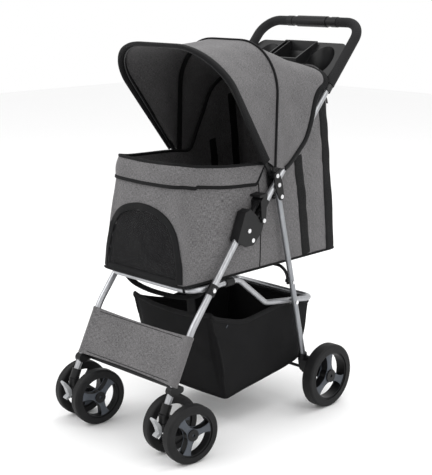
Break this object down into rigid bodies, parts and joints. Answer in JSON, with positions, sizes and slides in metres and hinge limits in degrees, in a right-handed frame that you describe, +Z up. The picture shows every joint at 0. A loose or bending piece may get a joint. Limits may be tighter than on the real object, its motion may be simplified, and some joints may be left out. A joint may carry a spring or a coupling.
{
  "type": "pet stroller",
  "caption": "Folding pet stroller with twin front casters, larger rear wheels, a soft cabin, folding canopy, parent tray with cup holders and a sling basket underneath.",
  "frame": {"origin": "on the floor under the middle of the whole part's bounding box", "axes": "+X to the pusher's left, -Y to the front of the stroller, +Z up"},
  "size_m": [0.4611, 0.7465, 0.9795],
  "materials": {
    "tube": "satin clear-lacquered tube",
    "steel": "plated rivets and pins",
    "black_plastic": "fine-grained moulded nylon",
    "grey_plastic": "satin moulded plastic",
    "tyre": "matt moulded tyre",
    "foam": "matt foam",
    "grey_cloth": "heather woven polyester",
    "black_cloth": "plain woven nylon",
    "board": "stiff pad board"
  },
  "bodies": {
    "frame": {"front_leg_left": "tube", "front_leg_right": "tube", "fold_housing_left": "black_plastic", "fold_housing_right": "black_plastic", "front_pins": "steel", "caster_socket_left": "black_plastic", "caster_socket_right": "black_plastic", "front_crossbar": "black_plastic", "footrest_flap": "grey_cloth", "bar_bracket_left": "black_plastic", "bar_bracket_right": "black_plastic"},
    "caster_left": {"caster_fork_left": "black_plastic", "caster_pins_left": "steel"},
    "caster_right": {"caster_fork_right": "black_plastic", "caster_pins_right": "steel"},
    "swivel_lock_left": {"swivel_lock_left": "grey_plastic"},
    "swivel_lock_right": {"swivel_lock_right": "grey_plastic"},
    "front_wheel_left_outer": {"front_tyre_left_outer": "tyre", "front_hub_left_outer": "black_plastic"},
    "front_wheel_left_inner": {"front_tyre_left_inner": "tyre", "front_hub_left_inner": "black_plastic"},
    "front_wheel_right_outer": {"front_tyre_right_outer": "tyre", "front_hub_right_outer": "black_plastic"},
    "front_wheel_right_inner": {"front_tyre_right_inner": "tyre", "front_hub_right_inner": "black_plastic"},
    "rear_wheel_left": {"rear_tyre_left": "tyre", "rear_hub_left": "black_plastic"},
    "rear_wheel_right": {"rear_tyre_right": "tyre", "rear_hub_right": "black_plastic"},
    "handle": {"handle_tube": "tube", "fold_knuckle_left": "black_plastic", "fold_knuckle_right": "black_plastic", "handle_rivets": "steel", "hinge_plate_left": "black_plastic", "hinge_plate_right": "black_plastic", "foam_grips": "foam", "grip_cover": "black_plastic", "cup_tray": "black_plastic"},
    "latch_left": {"latch_lever_left": "black_plastic"},
    "latch_right": {"latch_lever_right": "black_plastic"},
    "canopy_mid": {"canopy_mid_bow": "steel", "canopy_rear": "grey_cloth"},
    "canopy_front": {"canopy_front_bow": "steel", "canopy_arms": "black_plastic", "canopy_front": "grey_cloth"},
    "rear_frame": {"rear_leg_left": "tube", "rear_leg_right": "tube", "floor_bow": "steel", "rear_axle": "steel", "axle_bracket_left": "black_plastic", "axle_bracket_right": "black_plastic", "rear_rivets": "steel"},
    "brake_left": {"brake_pedal_left": "black_plastic"},
    "brake_right": {"brake_pedal_right": "black_plastic"},
    "basket_frame": {"basket_bar": "tube", "bar_clips": "black_plastic", "basket": "black_cloth", "cabin": "grey_cloth", "floor_board": "board"}
  },
  "joints": [
    {"name": "handle_fold", "type": "hinge", "parent": "frame", "child": "handle", "pos_m": [0, -0.06531, 0.474], "axis": [-1, 0, 0], "range_deg": [0, 110], "deforming": ["cabin", "basket"]},
    {"name": "rear_frame_fold", "type": "hinge", "parent": "handle", "child": "rear_frame", "pos_m": [0, 0.03477, 0.565], "axis": [1, 0, 0], "range_deg": [0, 73]},
    {"name": "basket_fold", "type": "hinge", "parent": "frame", "child": "basket_frame", "pos_m": [0, -0.19021, 0.375], "axis": [-1, 0, 0], "range_deg": [0, 59]},
    {"name": "canopy_mid_fold", "type": "hinge", "parent": "handle", "child": "canopy_mid", "pos_m": [0, 0.01749, 0.618], "axis": [-1, 0, 0], "range_deg": [0, 33], "deforming": ["canopy_rear"]},
    {"name": "canopy_front_fold", "type": "hinge", "parent": "canopy_mid", "child": "canopy_front", "pos_m": [0, 0.01749, 0.618], "axis": [-1, 0, 0], "range_deg": [0, 26], "deforming": ["canopy_front"]},
    {"name": "swivel_left", "type": "hinge", "parent": "frame", "child": "caster_left", "pos_m": [0.164, -0.343, 0.09], "axis": [0, 0, 1], "continuous": true},
    {"name": "swivel_lock_flip_left", "type": "hinge", "parent": "caster_left", "child": "swivel_lock_left", "pos_m": [0.16197, -0.35584, 0.076], "axis": [0.9877, -0.1564, 0], "range_deg": [0, 28]},
    {"name": "front_wheel_spin_left_outer", "type": "hinge", "parent": "caster_left", "child": "front_wheel_left_outer", "pos_m": [0.21122, -0.30694, 0.07], "axis": [0.9877, -0.1564, 0], "continuous": true},
    {"name": "front_wheel_spin_left_inner", "type": "hinge", "parent": "caster_left", "child": "front_wheel_left_inner", "pos_m": [0.13023, -0.29412, 0.07], "axis": [0.9877, -0.1564, 0], "continuous": true},
    {"name": "rear_wheel_spin_left", "type": "hinge", "parent": "rear_frame", "child": "rear_wheel_left", "pos_m": [0.211, 0.18162, 0.082], "axis": [1, 0, 0], "continuous": true},
    {"name": "brake_press_left", "type": "hinge", "parent": "rear_frame", "child": "brake_left", "pos_m": [0.18, 0.18562, 0.116], "axis": [-1, 0, 0], "range_deg": [0, 12]},
    {"name": "latch_release_left", "type": "hinge", "parent": "handle", "child": "latch_left", "pos_m": [0.164, -0.03131, 0.517], "axis": [-1, 0, 0], "range_deg": [0, 9]},
    {"name": "swivel_right", "type": "hinge", "parent": "frame", "child": "caster_right", "pos_m": [-0.164, -0.343, 0.09], "axis": [0, 0, 1], "continuous": true},
    {"name": "swivel_lock_flip_right", "type": "hinge", "parent": "caster_right", "child": "swivel_lock_right", "pos_m": [-0.16603, -0.35584, 0.076], "axis": [0.9877, -0.1564, 0], "range_deg": [0, 28]},
    {"name": "front_wheel_spin_right_outer", "type": "hinge", "parent": "caster_right", "child": "front_wheel_right_outer", "pos_m": [-0.19777, -0.29412, 0.07], "axis": [0.9877, -0.1564, 0], "continuous": true},
    {"name": "front_wheel_spin_right_inner", "type": "hinge", "parent": "caster_right", "child": "front_wheel_right_inner", "pos_m": [-0.11678, -0.30694, 0.07], "axis": [0.9877, -0.1564, 0], "continuous": true},
    {"name": "rear_wheel_spin_right", "type": "hinge", "parent": "rear_frame", "child": "rear_wheel_right", "pos_m": [-0.211, 0.18162, 0.082], "axis": [1, 0, 0], "continuous": true},
    {"name": "brake_press_right", "type": "hinge", "parent": "rear_frame", "child": "brake_right", "pos_m": [-0.18, 0.18562, 0.116], "axis": [-1, 0, 0], "range_deg": [0, 12]},
    {"name": "latch_release_right", "type": "hinge", "parent": "handle", "child": "latch_right", "pos_m": [-0.164, -0.03131, 0.517], "axis": [-1, 0, 0], "range_deg": [0, 9]}
  ],
  "couplings": [
    {"joint": "rear_frame_fold", "follows": "handle_fold", "ratio": 0.6597},
    {"joint": "basket_fold", "follows": "handle_fold", "ratio": 0.5271}
  ]
}
